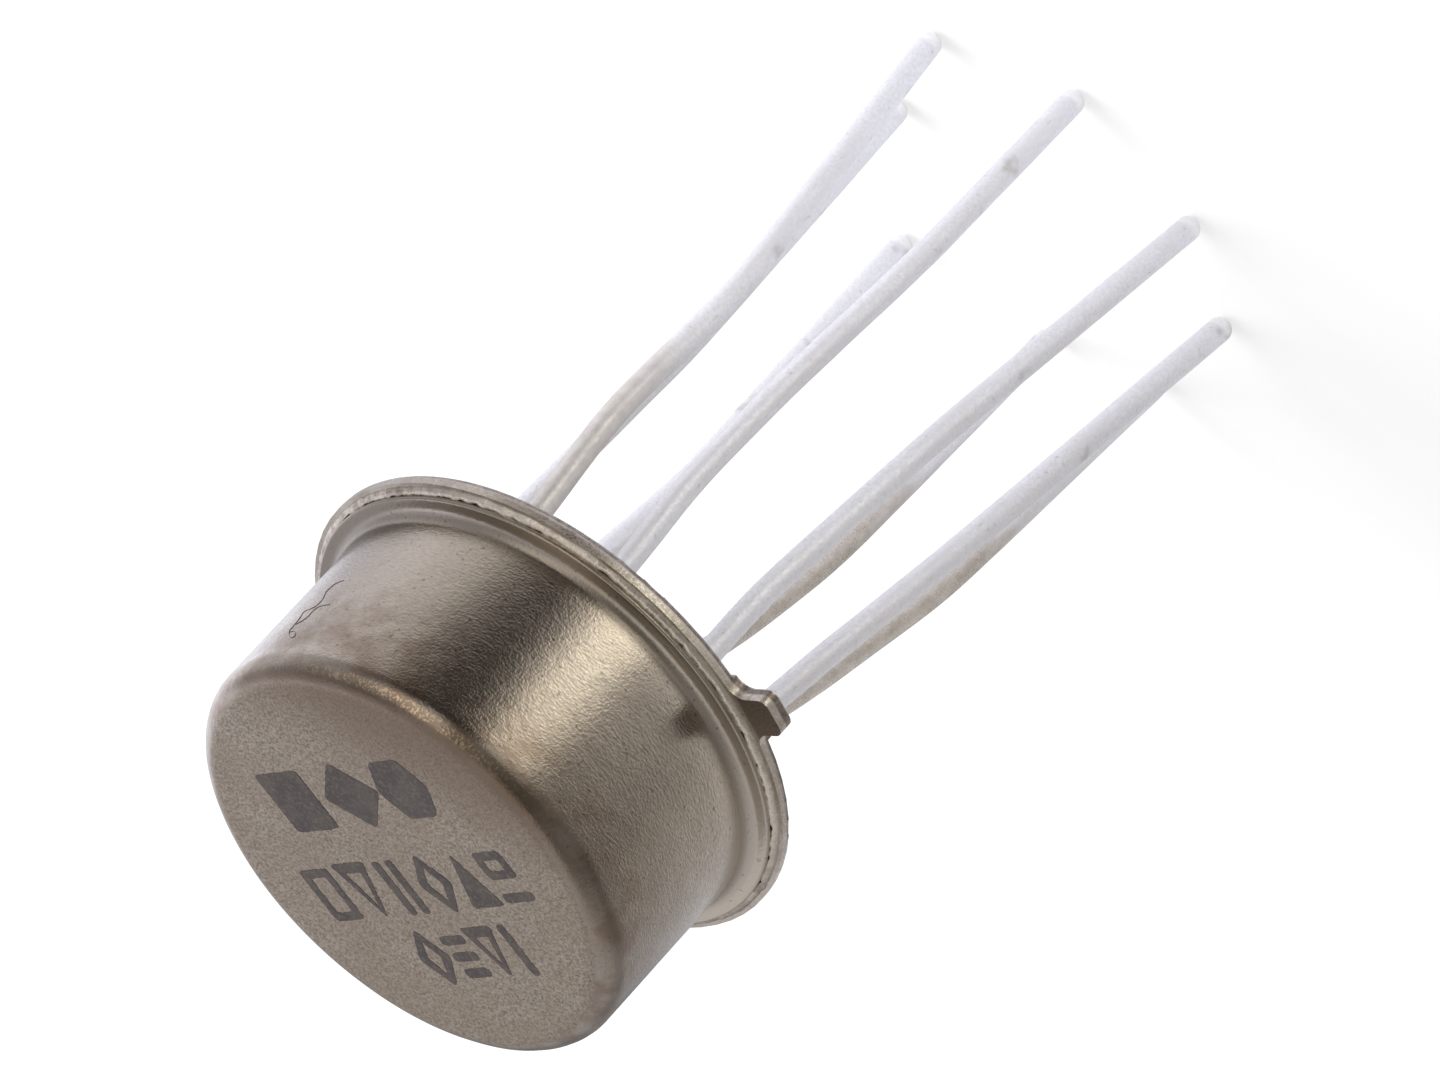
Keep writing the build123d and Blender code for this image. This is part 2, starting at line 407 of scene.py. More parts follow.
for number in range(1, lead_count + 1):
    node_name = f"lead_{number}"
    low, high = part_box(node_name)
    wire = nodes[node_name].data
    seed = number * wave_seed_step
    rings = []
    first_height = high.z - first_ring_drop
    centres = wire_centres(wire, first_height, low.z + coat_radius, lead_rings)
    for step, centre in enumerate(centres):
        above = centres[max(step - 1, 0)]
        below = centres[min(step + 1, lead_rings)]
        along = (below - above).normalized()
        coated = min(max(-centre.z / coat_starts_over, 0), 1)
        radius = core_radius + (coat_radius - core_radius) * coated
        rings.append(ring_round(centre, along, radius, lead_sides, coat_waviness * coated, seed))
    for step in range(1, tip_rings + 1):
        turn = math.pi / 2 * step / (tip_rings + 0.5)
        centre_here = centre + along * coat_radius * tip_bluntness * math.sin(turn)
        rings.append(ring_round(centre_here, along, coat_radius * math.cos(turn), lead_sides, 0, 0))
    build = bmesh.new()
    add_tube(build, rings)
    coat = lead_coats.get(number, lead_solder)
    lead = add_piece(f"dipped_lead_{number}", build, coat)
    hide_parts(node_name)


# ---------------------------------------------------------------------------
# Chip. A polished silicon die held on the hat by a gold-silicon preform, with a gold
# wire looped from each pad to its post. The cap hides all of it.
# ---------------------------------------------------------------------------
die_silicon, tree, shader = plain_finish("die_silicon", (0.10, 0.10, 0.14), 0.6, 0.15)
tracks = add_node(tree, "ShaderNodeTexBrick", Scale=1 / (0.5 * mm), Mortar_Size=0.03)
tree.links.new(place_on(tree), tracks.inputs["Vector"])
tracks.inputs["Color1"].default_value = (0.09, 0.10, 0.16, 1)
tracks.inputs["Color2"].default_value = (0.13, 0.11, 0.15, 1)
tracks.inputs["Mortar"].default_value = (0.55, 0.55, 0.56, 1)
tree.links.new(tracks.outputs["Color"], shader.inputs["Base Color"])
nodes["die"].data.materials.clear()
nodes["die"].data.materials.append(die_silicon)

bond_gold, tree, shader = plain_finish("bond_gold", (0.85, 0.60, 0.24), 1.0, 0.22)
tarnish = mottle(tree, 0.1 * mm)
gold_tone = blend_colours(tree, tarnish, (0.88, 0.63, 0.26), (0.74, 0.48, 0.18))
tree.links.new(gold_tone, shader.inputs["Base Color"])
relief(tree, shader, [(tarnish, 0.002 * mm)])
for name in ["die_attach"] + [f"bond_wire_{number}" for number in range(1, lead_count + 1)]:
    nodes[name].data.materials.clear()
    nodes[name].data.materials.append(bond_gold)


# ---------------------------------------------------------------------------
# Cap. Deep drawn from thin nickel sheet in several strokes, so its wall has faint rings
# and long soft waves from the punch and its top is flat and finely matt. The flange
# round its mouth lies on the header's. Heat has browned it in places, and its corner is
# darker brown on two sides. Its foot carries a painted highlight on one side and painted
# shade on the other, and its corner a painted golden highlight along one line.
# ---------------------------------------------------------------------------
cap_low, cap_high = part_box("cap")
cap_wall_radius = 4.045 * mm
cap_sheet = 0.20 * mm
cap_corner = 0.42 * mm
cap_foot = 0.20 * mm
cap_mouth = 0.25 * mm
cap_flange_thickness = 0.16 * mm
cap_flange_edge = 0.04 * mm
cap_sink = 0.010 * mm          # the face lies this much under the box, for the ink
cap_sides = 288
longest_run = 0.12 * mm        # of its section between two rings of points
wave_depth = 0.003 * mm
wave_size = 1.3 * mm

cap_nickel, tree, shader = plain_finish("cap_nickel", (0.44, 0.38, 0.335), 1.0, 0.3)
place, tilt = place_and_facing(tree)

# Where: the face, the corner, the wall and the foot, each from 0 to 1
by_top = ramp(tree, place["Z"], cap_high.z - 1.0 * mm, cap_high.z - 0.5 * mm)
on_face = combined(tree, "MULTIPLY", ramp(tree, tilt["Z"], 0.90, 0.995), by_top)
at_corner = combined(tree, "MULTIPLY", ramp(tree, tilt["Z"], 0.45, 0.80), by_top)
up_wall = ramp(tree, place["Z"], cap_low.z + 1.6 * mm, cap_high.z - 0.2 * mm)
low_down = ramp(tree, place["Z"], cap_low.z + 1.1 * mm, cap_low.z + 0.35 * mm)
near_foot = ramp(tree, place["Z"], cap_low.z + 0.60 * mm, cap_low.z + 0.25 * mm)

# Patterns
stains = mottle(tree, 0.8 * mm, detail=6.0, stretch=(1, 1, 1.6))
burns = mottle(tree, 0.5 * mm, detail=8.0, low=0.40, high=0.68)
spots = mottle(tree, 0.13 * mm, detail=4.0, low=0.60, high=0.72)
grain = mottle(tree, 0.05 * mm, detail=2.0, low=0.40, high=0.60)
tones = mottle(tree, 0.09 * mm, detail=3.0, low=0.38, high=0.62)
clouds = mottle(tree, 1.3 * mm, detail=3.0)
flecks = mottle(tree, 0.10 * mm, detail=3.0, low=0.635, high=0.70)
glints = mottle(tree, 0.05 * mm, detail=2.0, low=0.50, high=0.62)
ripples = mottle(tree, 0.038 * mm, detail=3.0, stretch=(0.35, 0.35, 1), low=0.2, high=0.8)
waves = mottle(tree, 0.6 * mm, detail=1.0, low=0.1, high=0.9)

# The wall: brown stains high up, more so over the tab, and burn marks on the side that
# lies a quarter turn on from it
clean = blend_colours(tree, ripples, (0.50, 0.44, 0.38), (0.42, 0.37, 0.315))
over_tab = ramp(tree, towards_side(tree, 8), 2.4 * mm, 3.9 * mm)
any_stain = combined(tree, "MAXIMUM", stains, combined(tree, "MULTIPLY", over_tab, 0.5))
high_stain = combined(tree, "MULTIPLY", any_stain, up_wall)
stained = blend_colours(tree, high_stain, clean, (0.31, 0.24, 0.19))
over_band = ramp(tree, place["Z"], 2.2 * mm, 3.3 * mm)
under_corner = ramp(tree, place["Z"], cap_high.z - 0.2 * mm, cap_high.z - 0.7 * mm)
burnt_band = combined(tree, "MULTIPLY", over_band, under_corner)
burnt_turn = ramp(tree, towards_side(tree, 85), 2.4 * mm, 3.8 * mm)
burnt_side = combined(tree, "MULTIPLY", burnt_turn, burnt_band)
burn_marks = combined(tree, "MAXIMUM", combined(tree, "MULTIPLY", burns, 0.65), spots)
burnt = combined(tree, "MULTIPLY", combined(tree, "MULTIPLY", burn_marks, burnt_side), 0.8)
wall = blend_colours(tree, burnt, stained, (0.21, 0.15, 0.115))

# The foot: a painted highlight on one side and painted shade on the other
foot_side = towards_side(tree, 130)
foot_highlight_side = ramp(tree, foot_side, -0.2 * mm, -1.8 * mm)
foot_with_painted_highlight = blend_colours(tree, foot_highlight_side, (0.47, 0.41, 0.345), (0.61, 0.545, 0.47))
foot_shade_side = ramp(tree, foot_side, 2.8 * mm, 3.9 * mm)
foot_painted_light = blend_colours(tree, foot_shade_side, foot_with_painted_highlight, (0.28, 0.245, 0.21))
wall_with_painted_foot_light = blend_colours(tree, low_down, wall, foot_painted_light)

# The face: a fine grain of cool and warm greys with soft clouds
cool = blend_colours(tree, grain, (0.46, 0.40, 0.335), (0.31, 0.27, 0.225))
warm = blend_colours(tree, grain, (0.40, 0.33, 0.26), (0.26, 0.212, 0.165))
matt_face = blend_colours(tree, tones, cool, warm)
cloud_share = combined(tree, "MULTIPLY", clouds, 0.35)
shaded = blend_colours(tree, cloud_share, matt_face, (0.30, 0.235, 0.18))
cap_tone = blend_colours(tree, on_face, wall_with_painted_foot_light, shaded)

# The corner: darker brown on two sides, and a painted golden highlight along one line
print_side = ramp(tree, towards_side(tree, 58), 1.4 * mm, 3.6 * mm)
burn_side = ramp(tree, towards_side(tree, 85), 2.8 * mm, 3.9 * mm)
darker_corner_sides = combined(tree, "MAXIMUM", print_side, burn_side)
darker_corner = combined(tree, "MULTIPLY", darker_corner_sides, at_corner)
brown_share = combined(tree, "MULTIPLY", darker_corner, 0.80)
browned = blend_colours(tree, brown_share, cap_tone, (0.20, 0.145, 0.105))
# Painted highlight: a golden line along the corner towards one side
glint_side = ramp(tree, towards_side(tree, 56), 3.1 * mm, 3.95 * mm)
outside_line = ramp(tree, tilt["Z"], 0.34, 0.50)
inside_line = ramp(tree, tilt["Z"], 0.80, 0.66)
glint_band = combined(tree, "MULTIPLY", outside_line, inside_line)
painted_glint_mask = combined(tree, "MULTIPLY", combined(tree, "MULTIPLY", glint_side, glint_band), by_top)
glinted = combined(tree, "MULTIPLY", painted_glint_mask, spread_value(tree, glints, 0.15, 0.80))
with_painted_glint = blend_colours(tree, glinted, browned, (0.88, 0.66, 0.44))
fleck_share = combined(tree, "MULTIPLY", flecks, 0.5)
flecked = blend_colours(tree, fleck_share, with_painted_glint, (0.14, 0.11, 0.09))
tree.links.new(flecked, shader.inputs["Base Color"])

# The gloss: bright on the wall, duller at the foot, matt on the face
matt = spread_value(tree, grain, 0.28, 0.40)
bright = spread_value(tree, ripples, 0.11, 0.22)
dulled = add_node(tree, "ShaderNodeMix")
tree.links.new(near_foot, dulled.inputs["Factor"])
tree.links.new(bright, dulled.inputs[2])
dulled.inputs[3].default_value = 0.24
roughness = add_node(tree, "ShaderNodeMix")
tree.links.new(on_face, roughness.inputs["Factor"])
tree.links.new(dulled.outputs[0], roughness.inputs[2])
tree.links.new(matt, roughness.inputs[3])
tree.links.new(roughness.outputs[0], shader.inputs["Roughness"])
relief(tree, shader, [(grain, 0.0010 * mm), (ripples, 0.0016 * mm), (waves, 0.004 * mm)])


def rounded_profile(corners, steps=8):
    """Points of a section from its (radius, height, rounding) corners."""
    points = []
    for i, (r, z, rounding) in enumerate(corners):
        here = Vector((r, z))
        if not rounding:
            points.append(here)
            continue
        back = (Vector(corners[i - 1][:2]) - here).normalized()
        ahead = (Vector(corners[(i + 1) % len(corners)][:2]) - here).normalized()
        half = back.angle(ahead) / 2
        centre = here + (back + ahead).normalized() * rounding / math.sin(half)
        start = here + back * rounding / math.tan(half) - centre
        end = here + ahead * rounding / math.tan(half) - centre
        for step in range(steps + 1):
            arm = start.lerp(end, step / steps)
            points.append(centre + arm.normalized() * rounding)
    return points


def filled_in(points, longest):
    """The same outline with long runs divided."""
    dense = []
    for here, there in zip(points, points[1:]):
        pieces = max(1, math.ceil((there - here).length / longest))
        dense += [here.lerp(there, i / pieces) for i in range(pieces)]
    return dense + [points[-1]]


flange_radius = cap_high.x
step_height = cap_low.z + cap_flange_thickness
cap_top = cap_high.z - cap_sink
corners = [
    (0, cap_top - cap_sheet, 0),
    (cap_wall_radius - cap_sheet, cap_top - cap_sheet, cap_corner - cap_sheet),
    (cap_wall_radius - cap_sheet, cap_low.z, cap_mouth),
    (flange_radius, cap_low.z, 0),
    (flange_radius, step_height, cap_flange_edge),
    (cap_wall_radius, step_height, cap_foot),
    (cap_wall_radius, cap_top, cap_corner),
    (0, cap_top, 0),
]
outline = filled_in(rounded_profile(corners), longest_run)
build = bmesh.new()
inner_pole = build.verts.new((0, 0, outline[0].y))
outer_pole = build.verts.new((0, 0, outline[-1].y))
loops = []
for point in outline[1:-1]:
    loop = []
    for i in range(cap_sides):
        turn = 2 * math.pi * i / cap_sides
        spot = Vector((math.cos(turn), math.sin(turn), 0)) * point.x
        spot.z = point.y
        wave = wave_depth * noise.noise(spot / wave_size)
        loop.append(build.verts.new(spot * (1 - abs(wave) / cap_wall_radius)))
    loops.append(loop)
for lower, upper in zip(loops, loops[1:]):
    for i in range(cap_sides):
        j = (i + 1) % cap_sides
        build.faces.new((lower[i], lower[j], upper[j], upper[i]))
for pole, loop in ((inner_pole, loops[0]), (outer_pole, loops[-1])):
    for i in range(cap_sides):
        build.faces.new((loop[i], loop[(i + 1) % cap_sides], pole))
cap = add_piece("drawn_cap", build, cap_nickel)
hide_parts("cap")


# ---------------------------------------------------------------------------
# Print. Three rows of plain signs, stamped on the top in black epoxy ink with a rubber
# die: a row of heavy blocks over two rows of open signs and bars. The ink spreads a
# little at the edges and rounds the corners.
# ---------------------------------------------------------------------------
ink_thickness = 0.004 * mm
ink_edge = 0.04 * mm           # spacing of the points along an edge
ink_spread = 0.014 * mm
ink_raggedness = 11            # how often in a millimetre the edge wavers
ink_softening = 4              # passes that round the corners
ink_lift = -0.5                # its underside lies in the metal by this part of its thickness
heart_size = 0.02              # a filled sign closes on a heart this small
print_turn = math.radians(8)
print_slant = 0.09
stroke = 0.17                  # of a sign drawn in line, in mm
sharp_corner_stroke = 1.25     # slanting sides need so much more to look as thick
square = ((-0.5, -0.5), (0.5, -0.5), (0.5, 0.5), (-0.5, 0.5))
diamond = ((0, -0.62), (0.55, 0), (0, 0.62), (-0.55, 0))
wedge = ((-0.55, 0.5), (0.55, 0.5), (0, -0.55))
hexagon = ((-0.3, -0.5), (0.3, -0.5), (0.55, 0), (0.3, 0.5), (-0.3, 0.5), (-0.55, 0))

# Each sign: outline, centre, width and height in mm, and whether it is drawn in line
print_signs = (
    (square, (-1.28, 1.47), (1.10, 1.20), False),
    (diamond, (0.18, 1.47), (1.30, 1.10), False),
    (hexagon, (1.52, 1.47), (1.16, 1.16), False),
    (square, (-2.24, -0.40), (0.74, 1.06), True),
    (wedge, (-1.28, -0.36), (0.80, 1.10), True),
    (square, (-0.56, -0.40), (0.19, 1.12), False),
    (square, (-0.22, -0.40), (0.19, 1.12), False),
    (diamond, (0.52, -0.40), (0.76, 1.00), True),
    (wedge, (1.40, -0.42), (0.74, -1.06), False),
    (square, (2.28, -0.16), (0.70, 0.56), True),
    (square, (2.28, -0.82), (0.76, 0.19), False),
    (diamond, (-0.92, -1.83), (0.74, 0.98), True),
    (square, (-0.14, -1.52), (0.62, 0.19), False),
    (square, (-0.14, -1.86), (0.62, 0.19), False),
    (square, (-0.14, -2.20), (0.62, 0.19), False),
    (wedge, (0.62, -1.80), (0.72, 1.00), True),
    (square, (1.26, -1.83), (0.19, 1.06), False),
)

print_ink, tree, shader = plain_finish("print_ink", (0.06, 0.05, 0.05), 0.0, 0.6)
worn = mottle(tree, 0.07 * mm, detail=5.0, low=0.45, high=0.75)
patchy = mottle(tree, 0.5 * mm)
ink_tone = blend_colours(tree, patchy, (0.038, 0.031, 0.032), (0.052, 0.043, 0.040))
tree.links.new(blend_colours(tree, worn, ink_tone, (0.085, 0.072, 0.063)), shader.inputs["Base Color"])
tree.links.new(spread_value(tree, worn, 0.50, 0.70), shader.inputs["Roughness"])
shader.inputs["Specular IOR Level"].default_value = 0.2
relief(tree, shader, [(worn, 0.002 * mm)])


def inked_edge(corners, size):
    """Outline in mm with its edges divided and its corners rounded as the ink spreads."""
    scaled = [Vector((x * size[0], y * size[1])) for x, y in corners]
    points = []
    for here, there in zip(scaled, scaled[1:] + scaled[:1]):
        pieces = max(2, round((there - here).length / (ink_edge / mm)))
        points += [here.lerp(there, i / pieces) for i in range(pieces)]
    for _ in range(ink_softening):
        before = points[-1:] + points[:-1]
        after = points[1:] + points[:1]
        points = [(a + b + c) / 3 for a, b, c in zip(before, points, after)]
    return points


def on_top(point):
    """A point of the print, in mm, laid on the top with its slant, turn and ragged edge."""
    x = point.x - point.y * print_slant
    y = point.y
    spot = Vector((x, y, 0))
    x += ink_spread / mm * noise.noise(spot * ink_raggedness)
    y += ink_spread / mm * noise.noise(spot * ink_raggedness + Vector((5, 3, 1)))
    c = math.cos(print_turn)
    n = math.sin(print_turn)
    return Vector(((x * c - y * n) * mm, (x * n + y * c) * mm, cap_top))


build = bmesh.new()
for corners, centre, size, in_line in print_signs:
    middle = Vector(centre)
    rim = inked_edge(corners, size)
    if in_line:
        thickness = stroke if corners is square else stroke * sharp_corner_stroke
        inner_size = [side - 2 * thickness for side in size]
        shrink = (inner_size[0] / size[0], inner_size[1] / size[1])
        heart = [Vector((p.x * shrink[0], p.y * shrink[1])) for p in rim]
    else:
        heart = [p * heart_size for p in rim]
    loops = []
    for lift, outline in ((ink_lift, rim), (1, rim), (1, heart), (ink_lift, heart)):
        rise = Vector((0, 0, lift * ink_thickness))
        loops.append([build.verts.new(on_top(middle + p) + rise) for p in outline])
    for first, second in zip(loops, loops[1:] + loops[:1]):
        for i in range(len(rim)):
            j = (i + 1) % len(rim)
            build.faces.new((first[i], first[j], second[j], second[i]))
add_piece("top_print", build, print_ink, smooth=False)


# ---------------------------------------------------------------------------
# Lint. Two dark textile fibres, finer than a hair, that have settled on the wall of the
# cap. Nothing fixes them: they cling by their curl.
# ---------------------------------------------------------------------------
lint_radius = 0.0045 * mm
# Azimuth from the tab in degrees and height in mm of the places where each fibre turns
lint_routes = (
    (
        (98, 2.44), (100.6, 2.46), (101.2, 2.60), (101.4, 2.70), (100, 2.82), (99.4, 2.96),
        (99.8, 3.08), (101.5, 3.12), (103.4, 3.16), (102.4, 3.28), (101.8, 3.42), (101.6, 3.55),
        (101.4, 3.66), (99.4, 3.80), (97, 3.90), (96.6, 3.80), (99, 3.68), (100.6, 3.70),
    ),
    ((94.6, 3.06), (97, 3.07), (98.8, 3.10), (99.1, 3.22), (98.8, 3.34), (100, 3.46), (101.2, 3.50)),
)

lint_fibre, tree, shader = plain_finish("lint_fibre", (0.06, 0.045, 0.035), 0.0, 0.7)
bands = mottle(tree, 0.08 * mm)
fibre_tone = blend_colours(tree, bands, (0.07, 0.06, 0.05), (0.16, 0.13, 0.11))
tree.links.new(fibre_tone, shader.inputs["Base Color"])
relief(tree, shader, [(bands, 0.002 * mm)])

lint_curve = bpy.data.curves.new("lint_line", "CURVE")
lint_curve.dimensions = "3D"
for route in lint_routes:
    line = lint_curve.splines.new("NURBS")
    line.points.add(len(route) - 1)
    for point, (azimuth, height) in zip(line.points, route):
        angle = math.radians(azimuth)
        out = cap_wall_radius + lint_radius
        point.co = (out * math.cos(angle), out * math.sin(angle), height * mm, 1)
    line.order_u = 3
    line.use_endpoint_u = True
lint_curve.bevel_depth = lint_radius
lint_curve.bevel_resolution = 2
lint_curve.resolution_u = 12
lint_holder = bpy.data.objects.new("lint_line", lint_curve)
lint_mesh = bpy.data.meshes.new_from_object(lint_holder)
bpy.data.objects.remove(lint_holder)
build = bmesh.new()
build.from_mesh(lint_mesh)
add_piece("lint", build, lint_fibre)


# ---------------------------------------------------------------------------
# Stage. A white table, a soft lamp, and a painted tent of white and grey card that only
# the metal mirrors. The camera looks down on the part from the side of its tab.
# ---------------------------------------------------------------------------
lowest = cad_box[0][2]
table_radius = 0.6             # in metres
table_glow = 0.6               # share of plain white in the table as the camera sees it
room_light = 0.75
bpy.ops.mesh.primitive_circle_add(
    vertices=96, radius=table_radius, fill_type="NGON", location=(0, 0, lowest)
)
table = bpy.context.object
table.name = "table"


def seen_directly(tree):
    """1 for what the camera, a mirror or a glass body shows, 0 for light that falls on the part."""
    path = add_node(tree, "ShaderNodeLightPath")
    glossy = path.outputs["Is Glossy Ray"]
    mirrored = combined(tree, "MAXIMUM", glossy, path.outputs["Is Transmission Ray"])
    return combined(tree, "MAXIMUM", path.outputs["Is Camera Ray"], mirrored)


table_white, tree, shader = plain_finish("table_white", (0.86, 0.86, 0.86), 0.0, 0.6)
glow = add_node(tree, "ShaderNodeEmission", Strength=1.0)
both = add_node(tree, "ShaderNodeMixShader")
tree.links.new(combined(tree, "MULTIPLY", seen_directly(tree), table_glow), both.inputs["Fac"])
tree.links.new(shader.outputs["BSDF"], both.inputs[1])
tree.links.new(glow.outputs["Emission"], both.inputs[2])
tree.links.new(both.outputs["Shader"], tree.nodes["Material Output"].inputs["Surface"])
table.data.materials.append(table_white)

world = bpy.data.worlds.new("studio")
bpy.context.scene.world = world
world.use_nodes = True
tree = world.node_tree
air = tree.nodes["Background"]
air.inputs["Color"].default_value = (1, 1, 1, 1)
air.inputs["Strength"].default_value = room_light
backdrop = add_node(tree, "ShaderNodeBackground", Color=(1, 1, 1, 1), Strength=1.0)
both = add_node(tree, "ShaderNodeMixShader")
tree.links.new(seen_directly(tree), both.inputs["Fac"])
tree.links.new(air.outputs["Background"], both.inputs[1])
tree.links.new(backdrop.outputs["Background"], both.inputs[2])
tree.links.new(both.outputs["Shader"], tree.nodes["World Output"].inputs["Surface"])


def towards(azimuth, elevation):
    """Direction from the part, with azimuth counted from the tab."""
    a = math.radians(azimuth)
    e = math.radians(elevation)
    return Vector((math.cos(e) * math.cos(a), math.cos(e) * math.sin(a), math.sin(e)))


# A painted tent stands round the part, seen only in its metal. Each row gives how bright
# it is towards one azimuth: on the table where the leads, the foot of the can and the top
# of its wall mirror it, far off and half way up, and its tint.
tent_levels = (
    (-180, 0.95, 0.46, 1.60, 1.50, 1.20, (0.97, 0.99, 1.10)),
    (-160, 0.90, 0.75, 0.95, 0.95, 0.80, (0.98, 0.99, 1.07)),
    (-148, 0.60, 0.72, 0.36, 0.42, 0.72, (1.0, 0.985, 1.0)),
    (-131, 0.45, 0.76, 0.23, 0.24, 0.60, (1.0, 0.985, 1.0)),
    (-111, 0.42, 0.88, 0.42, 0.36, 0.55, (0.99, 0.99, 1.03)),
    (-84, 0.42, 0.92, 0.40, 0.34, 0.50, (1.0, 0.98, 0.99)),
    (-51, 0.42, 0.92, 0.33, 0.25, 0.33, (1.0, 0.97, 0.94)),
    (-31, 0.42, 0.80, 0.22, 0.17, 0.22, (1.0, 0.96, 0.93)),
    (-11, 0.50, 0.92, 0.20, 0.24, 0.24, (1.0, 0.96, 0.92)),
    (12, 0.60, 1.00, 0.22, 0.28, 0.15, (1.0, 0.97, 0.90)),
    (24, 0.70, 3.10, 0.90, 0.68, 0.14, (1.0, 0.97, 0.86)),
    (36, 0.75, 3.40, 1.15, 0.80, 0.20, (1.0, 0.97, 0.86)),
    (47, 0.75, 1.10, 0.16, 0.08, 0.24, (1.0, 0.97, 0.91)),
    (58, 0.75, 0.12, 0.07, 0.06, 0.36, (1.0, 0.95, 0.90)),
    (67, 0.80, 0.10, 0.05, 0.05, 0.75, (1.0, 0.95, 0.88)),
    (82, 0.90, 0.50, 0.16, 0.12, 0.85, (1.0, 0.96, 0.92)),
    (98, 0.95, 0.95, 0.68, 0.28, 0.42, (1.0, 0.98, 0.98)),
    (128, 1.00, 1.00, 1.12, 0.56, 0.34, (0.99, 0.99, 1.04)),
    (148, 1.00, 0.66, 1.05, 0.85, 0.56, (0.98, 0.99, 1.06)),
    (168, 1.00, 0.34, 1.20, 1.20, 0.75, (0.97, 0.99, 1.10)),
    (180, 0.95, 0.46, 1.60, 1.50, 1.20, (0.97, 0.99, 1.10)),
)
by_leads_from = 9              # distances on the table, in mm
by_leads_to = 18
low_wall_reach = 23
high_wall_reach = 30
far_reach = 45
far_end = 99
middle_level = 0.95            # right under the leads, where no side is nearer
bright_tint = (0.97, 0.975, 1.06)
dark_tint = (1.02, 0.96, 0.88)
tent_radius = 80 * mm
tent_lift = 0.3 * mm           # over the table
tent_turns = 180
floor_rings = 64
dome_step = 2                  # degrees between the rings of its dome
far_top = 6                    # elevations, in degrees
half_way_low = 26
half_way_high = 60
zenith_from = 76
zenith_level = 0.64


def between(table, value, column):
    """Straight-line reading from a table whose rows start with the value."""
    for row, following in zip(table, table[1:]):
        if value <= following[0]:
            share = (value - row[0]) / (following[0] - row[0])
            return row[column] * (1 - share) + following[column] * share
    return table[-1][column]


def tent_colour(azimuth, reach, elevation):
    """Brightness and tint of the tent, at a distance on the table or an elevation above it."""
    levels = [between(tent_levels, azimuth, column) for column in range(1, 6)]
    by_leads, low_wall, high_wall, far, half_way = levels
    tints = [row[:1] + row[6] for row in tent_levels]
    tint = [between(tints, azimuth, column) for column in (1, 2, 3)]
    if elevation > 0:
        steps = (
            (0, far), (far_top, far), (half_way_low, half_way),
            (half_way_high, half_way), (zenith_from, zenith_level), (90, zenith_level),
        )
        side = 1 - max(0, (elevation - half_way_high) / (90 - half_way_high))
        return [between(steps, elevation, 1) * (1 + (part - 1) * side) for part in tint]
    if reach < by_leads_to:
        side = min(reach / by_leads_from, 1) ** 2
        level = by_leads * side + middle_level * (1 - side)
        pairs = zip(bright_tint, dark_tint)
        return [level * (light * level + dark * (1 - level)) for light, dark in pairs]
    steps = (
        (by_leads_to, by_leads), (low_wall_reach, low_wall),
        (high_wall_reach, high_wall), (far_reach, far), (far_end, far),
    )
    return [between(steps, reach, 1) * part for part in tint]


tent_rings = [(tent_radius * step / floor_rings, 0) for step in range(floor_rings + 1)]
tent_rings += [(tent_radius, elevation) for elevation in range(dome_step, 91, dome_step)]
build = bmesh.new()
paint = []
grid = []
for reach, elevation in tent_rings:
    lift = math.radians(elevation)
    ring = []
    for turn in range(tent_turns):
        azimuth = -180 + 360 * turn / tent_turns
        angle = math.radians(azimuth)
        out = reach * math.cos(lift)
        height = lowest + tent_lift + reach * math.sin(lift)
        ring.append(build.verts.new((out * math.cos(angle), out * math.sin(angle), height)))
        paint.append(tent_colour(azimuth, reach / mm, elevation))
    grid.append(ring)
for inner, outer in zip(grid, grid[1:]):
    for i in range(tent_turns):
        j = (i + 1) % tent_turns
        build.faces.new((inner[i], outer[i], outer[j], inner[j]))
tent_mesh = bpy.data.meshes.new("tent")
build.to_mesh(tent_mesh)
build.free()
painted_levels = tent_mesh.color_attributes.new("levels", "FLOAT_COLOR", "POINT")
for value, colour in zip(painted_levels.data, paint):
    value.color = (*colour, 1)
tent = bpy.data.objects.new("tent", tent_mesh)
bpy.context.scene.collection.objects.link(tent)
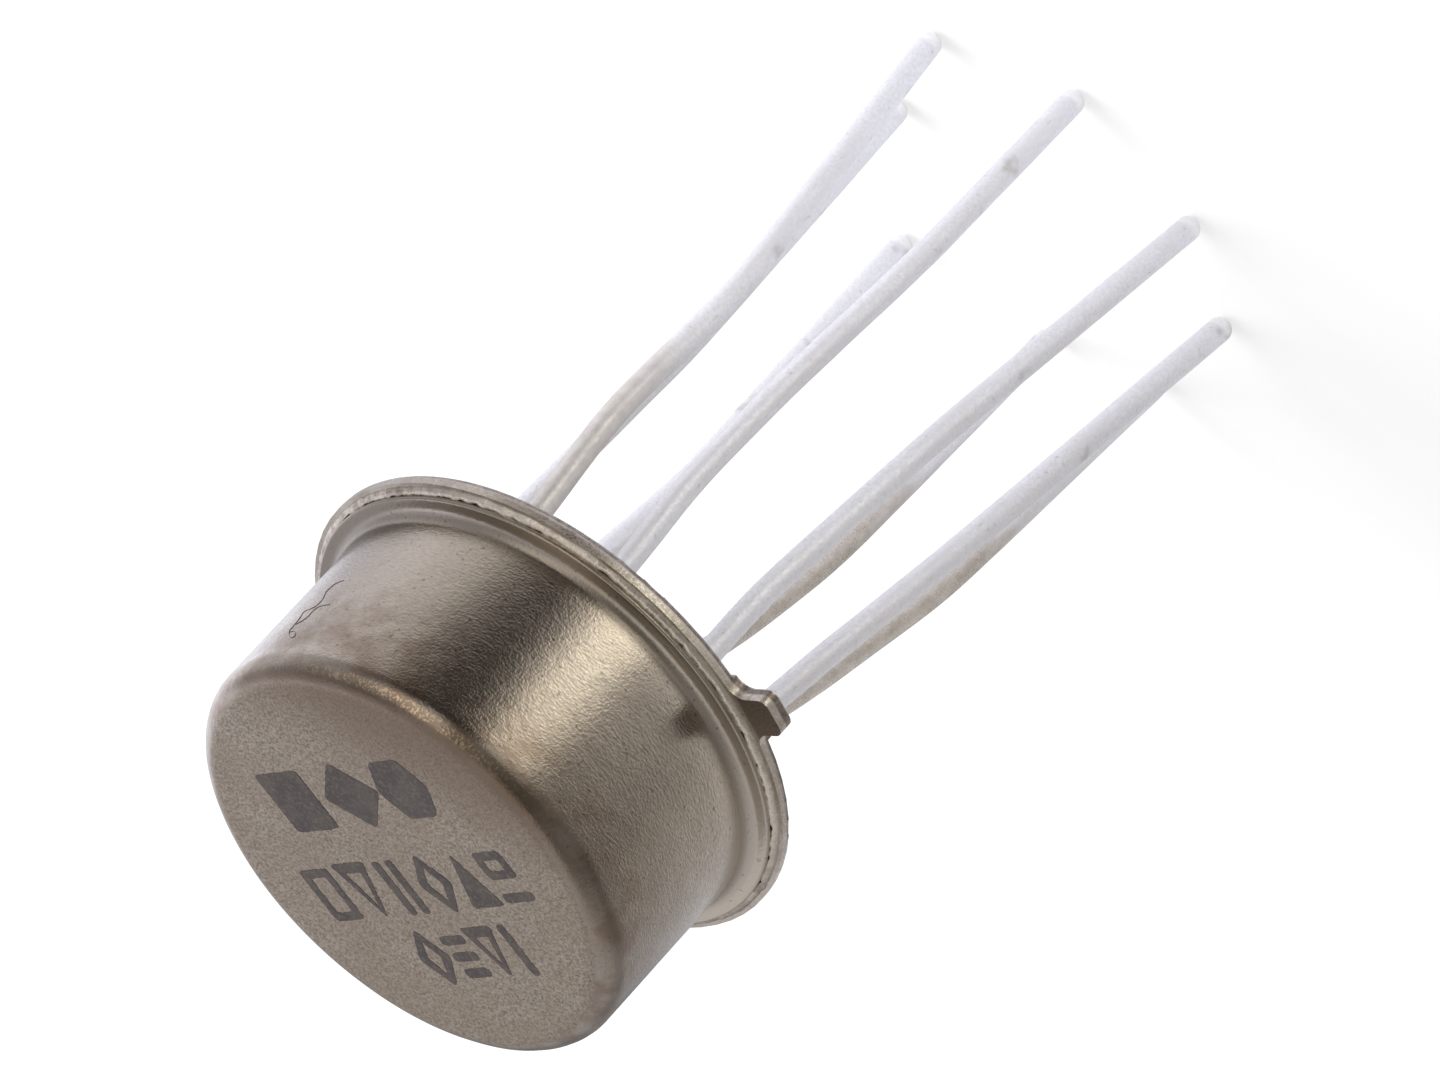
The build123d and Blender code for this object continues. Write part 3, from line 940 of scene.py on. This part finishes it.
tent_paint = bpy.data.materials.new("tent_paint")
tent_paint.use_nodes = True
tree = tent_paint.node_tree
tree.nodes.remove(tree.nodes["Principled BSDF"])
painted = add_node(tree, "ShaderNodeVertexColor", layer_name="levels")
glow = add_node(tree, "ShaderNodeEmission")
tree.links.new(painted.outputs["Color"], glow.inputs["Color"])
tree.links.new(glow.outputs["Emission"], tree.nodes["Material Output"].inputs["Surface"])
tent_mesh.materials.append(tent_paint)
tent.visible_camera = False
tent.visible_diffuse = False
tent.visible_shadow = False
tent.visible_transmission = False

# A square lamp faces the middle of the part; the metal doesn't mirror it.
part_middle = Vector((0, 0, -4 * mm))
lamp_way = towards(140, 50)
lamp_distance = 0.25           # in metres, like its size
lamp_size = 0.20
lamp_power = 0.9               # in watts
lamp = bpy.data.lights.new("softbox", "AREA")
lamp.shape = "SQUARE"
lamp.size = lamp_size
lamp.energy = lamp_power
softbox = bpy.data.objects.new("softbox", lamp)
softbox.location = part_middle + lamp_way * lamp_distance
softbox.rotation_mode = "QUATERNION"
softbox.rotation_quaternion = lamp_way.to_track_quat("Z", "Y")
softbox.visible_glossy = False
bpy.context.scene.collection.objects.link(softbox)

# The camera looks down at about a third of a right angle and is rolled so that the leads
# point up and to the right.
aim = Vector((1.714, 0.781, -2.66)) * mm
view_azimuth = 31.5
view_elevation = 31.67
view_roll = -137.5
view_distance = 184 * mm
focal_length = 287.9           # in mm, for a sensor 36 mm wide
camera_data = bpy.data.cameras.new("camera")
camera_data.lens = focal_length
camera_data.sensor_width = 36
camera_data.clip_start = 0.01
camera = bpy.data.objects.new("camera", camera_data)
bpy.context.scene.collection.objects.link(camera)
line_of_sight = towards(view_azimuth, view_elevation)
level = line_of_sight.to_track_quat("Z", "Y").to_matrix().to_4x4()
camera.matrix_world = (
    Matrix.Translation(aim + line_of_sight * view_distance)
    @ level
    @ Matrix.Rotation(math.radians(view_roll), 4, "Z")
)
bpy.context.scene.camera = camera
bpy.context.scene.view_settings.view_transform = "Standard"
